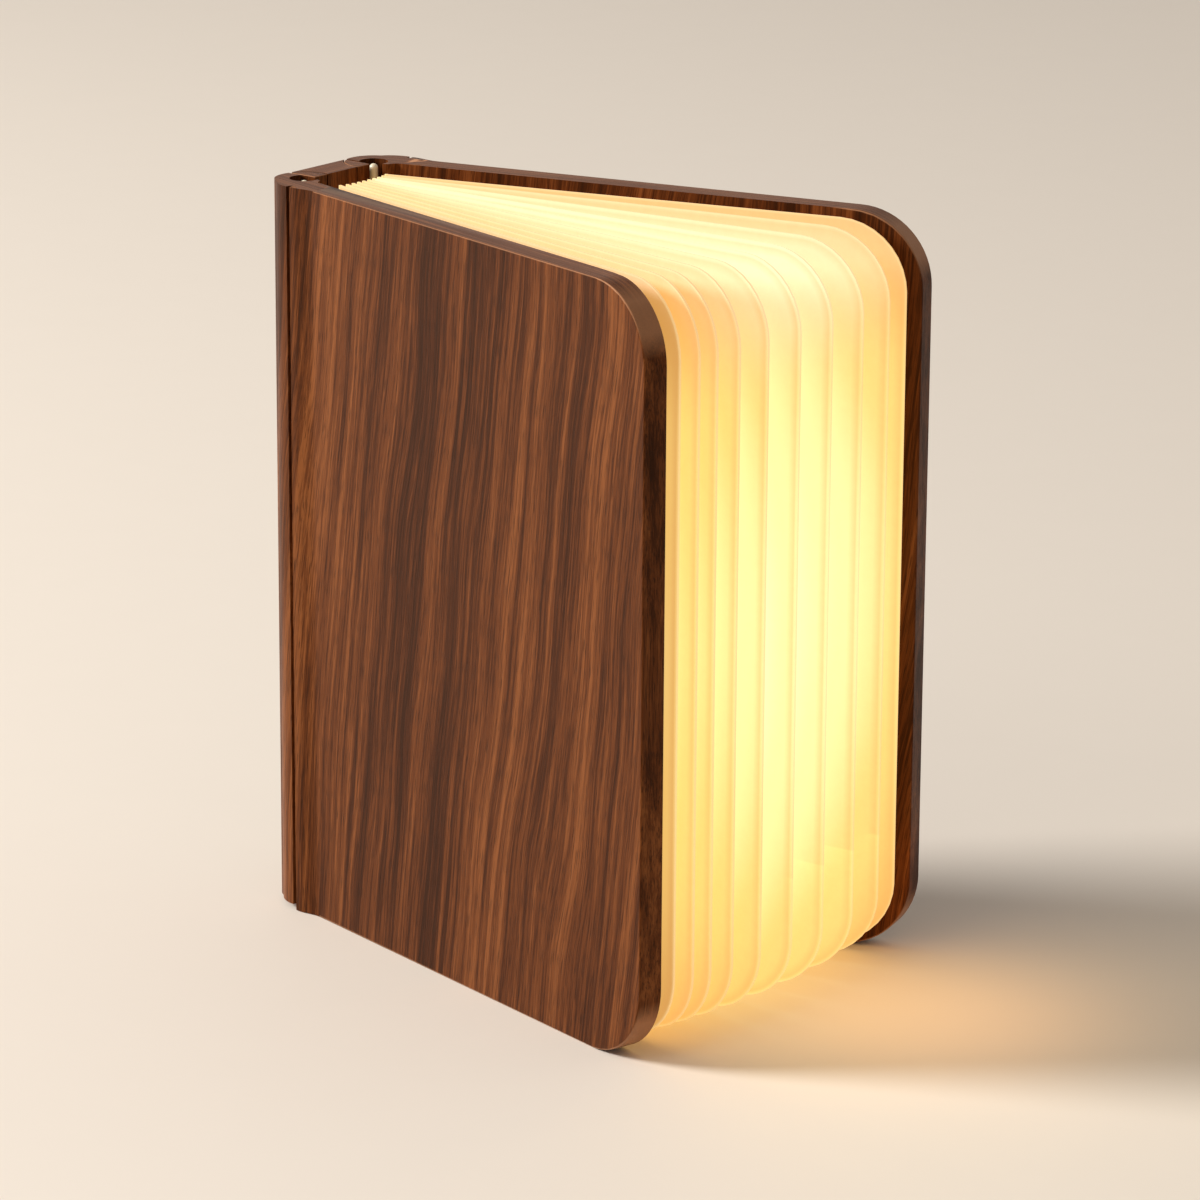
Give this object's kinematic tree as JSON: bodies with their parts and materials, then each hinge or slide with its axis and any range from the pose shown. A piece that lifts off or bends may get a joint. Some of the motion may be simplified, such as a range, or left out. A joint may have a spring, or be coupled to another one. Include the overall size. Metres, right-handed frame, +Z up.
{
  "type": "folding book lamp",
  "caption": "Lamp shaped like a book: two walnut covers hinged on a spine board open a fan of glowing paper pages that turn with them.",
  "frame": {"origin": "centre of the spine board's bottom face, on the table", "axes": "+Z up along the spine, +Y out of the spine's outer face, so the pages fan towards -Y; the front cover is on -X and the back cover on +X"},
  "size_m": [0.129, 0.1766, 0.215],
  "materials": {
    "walnut": "satin oiled walnut",
    "page_paper": "matt glowing paper",
    "brass": "satin",
    "steel": "satin",
    "circuit": "matt circuit board",
    "chips": "light chip",
    "frosted": "frosted diffuser",
    "ivory_plastic": "matt",
    "ivory_paint": "satin",
    "black_plastic": "matt",
    "battery_wrap": "gloss wrap",
    "magnet": "plated"
  },
  "bodies": {
    "spine": {"spine_board": "walnut", "light_tray": "steel", "led_strip": "circuit", "led_chips": "chips", "diffuser_lower": "frosted", "diffuser_upper": "frosted", "comb_low": "ivory_plastic", "comb_mid": "ivory_plastic", "comb_top": "ivory_plastic", "control_board": "circuit", "charging_socket": "steel", "socket_tongue": "black_plastic", "hall_sensor": "black_plastic", "battery_lower": "battery_wrap", "battery_upper": "battery_wrap", "front_knuckle_low": "brass", "front_knuckle_mid": "brass", "front_knuckle_top": "brass", "back_knuckle_low": "brass", "back_knuckle_mid": "brass", "back_knuckle_top": "brass", "knuckle_screws": "steel", "tray_screws": "steel", "front_hinge_pin": "ivory_paint", "back_hinge_pin": "ivory_paint"},
    "front_leaf": {"front_cover": "walnut", "front_barrel_inserts": "walnut", "front_bushes": "brass", "front_magnets": "magnet", "front_magnet_plugs": "walnut", "sensor_magnet": "magnet"},
    "back_leaf": {"back_cover": "walnut", "back_barrel_inserts": "walnut", "back_bushes": "brass", "back_magnets": "magnet", "back_magnet_plugs": "walnut"},
    "page_1_leaf": {"page_1": "page_paper"},
    "page_2_leaf": {"page_2": "page_paper"},
    "page_3_leaf": {"page_3": "page_paper"},
    "page_4_leaf": {"page_4": "page_paper"},
    "page_5_leaf": {"page_5": "page_paper"},
    "page_6_leaf": {"page_6": "page_paper"},
    "page_7_leaf": {"page_7": "page_paper"},
    "page_8_leaf": {"page_8": "page_paper"},
    "page_9_leaf": {"page_9": "page_paper"},
    "page_10_leaf": {"page_10": "page_paper"}
  },
  "joints": [
    {"name": "front_cover_hinge", "type": "hinge", "parent": "spine", "child": "front_leaf", "pos_m": [-0.015, -0.0033, 0], "axis": [0, 0, -1], "range_deg": [-14.3, 75.7]},
    {"name": "back_cover_hinge", "type": "hinge", "parent": "spine", "child": "back_leaf", "pos_m": [0.015, -0.0033, 0], "axis": [0, 0, 1], "range_deg": [-14.3, 75.7]},
    {"name": "page_1_hinge", "type": "hinge", "parent": "spine", "child": "page_1_leaf", "pos_m": [-0.0099, -0.0125, 0], "axis": [0, 0, 1], "range_deg": [-68.04, 12.87]},
    {"name": "page_2_hinge", "type": "hinge", "parent": "spine", "child": "page_2_leaf", "pos_m": [-0.0077, -0.0132, 0], "axis": [0, 0, 1], "range_deg": [-62.16, 11.76]},
    {"name": "page_3_hinge", "type": "hinge", "parent": "spine", "child": "page_3_leaf", "pos_m": [-0.0055, -0.0135, 0], "axis": [0, 0, 1], "range_deg": [-56.28, 10.65]},
    {"name": "page_4_hinge", "type": "hinge", "parent": "spine", "child": "page_4_leaf", "pos_m": [-0.0033, -0.01359, 0], "axis": [0, 0, 1], "range_deg": [-46.7, 8.84]},
    {"name": "page_5_hinge", "type": "hinge", "parent": "spine", "child": "page_5_leaf", "pos_m": [-0.0011, -0.0136, 0], "axis": [0, 0, 1], "range_deg": [-31.81, 6.03]},
    {"name": "page_6_hinge", "type": "hinge", "parent": "spine", "child": "page_6_leaf", "pos_m": [0.0011, -0.0136, 0], "axis": [0, 0, 1], "range_deg": [-12.69, 2.41]},
    {"name": "page_7_hinge", "type": "hinge", "parent": "spine", "child": "page_7_leaf", "pos_m": [0.0033, -0.01359, 0], "axis": [0, 0, 1], "range_deg": [-1.64, 8.58]},
    {"name": "page_8_hinge", "type": "hinge", "parent": "spine", "child": "page_8_leaf", "pos_m": [0.0055, -0.0135, 0], "axis": [0, 0, 1], "range_deg": [-6.15, 32.46]},
    {"name": "page_9_hinge", "type": "hinge", "parent": "spine", "child": "page_9_leaf", "pos_m": [0.0077, -0.0132, 0], "axis": [0, 0, 1], "range_deg": [-10.76, 56.87]},
    {"name": "page_10_hinge", "type": "hinge", "parent": "spine", "child": "page_10_leaf", "pos_m": [0.0099, -0.0125, 0], "axis": [0, 0, 1], "range_deg": [-14.17, 74.93]}
  ],
  "couplings": [
    {"joint": "back_cover_hinge", "follows": "front_cover_hinge", "ratio": 1},
    {"joint": "page_1_hinge", "follows": "front_cover_hinge", "ratio": -0.8986},
    {"joint": "page_2_hinge", "follows": "front_cover_hinge", "ratio": -0.8209},
    {"joint": "page_3_hinge", "follows": "front_cover_hinge", "ratio": -0.7432},
    {"joint": "page_4_hinge", "follows": "front_cover_hinge", "ratio": -0.6166},
    {"joint": "page_5_hinge", "follows": "front_cover_hinge", "ratio": -0.42},
    {"joint": "page_6_hinge", "follows": "front_cover_hinge", "ratio": -0.1674},
    {"joint": "page_7_hinge", "follows": "front_cover_hinge", "ratio": 0.1131},
    {"joint": "page_8_hinge", "follows": "front_cover_hinge", "ratio": 0.4285},
    {"joint": "page_9_hinge", "follows": "front_cover_hinge", "ratio": 0.751},
    {"joint": "page_10_hinge", "follows": "front_cover_hinge", "ratio": 0.9895}
  ]
}
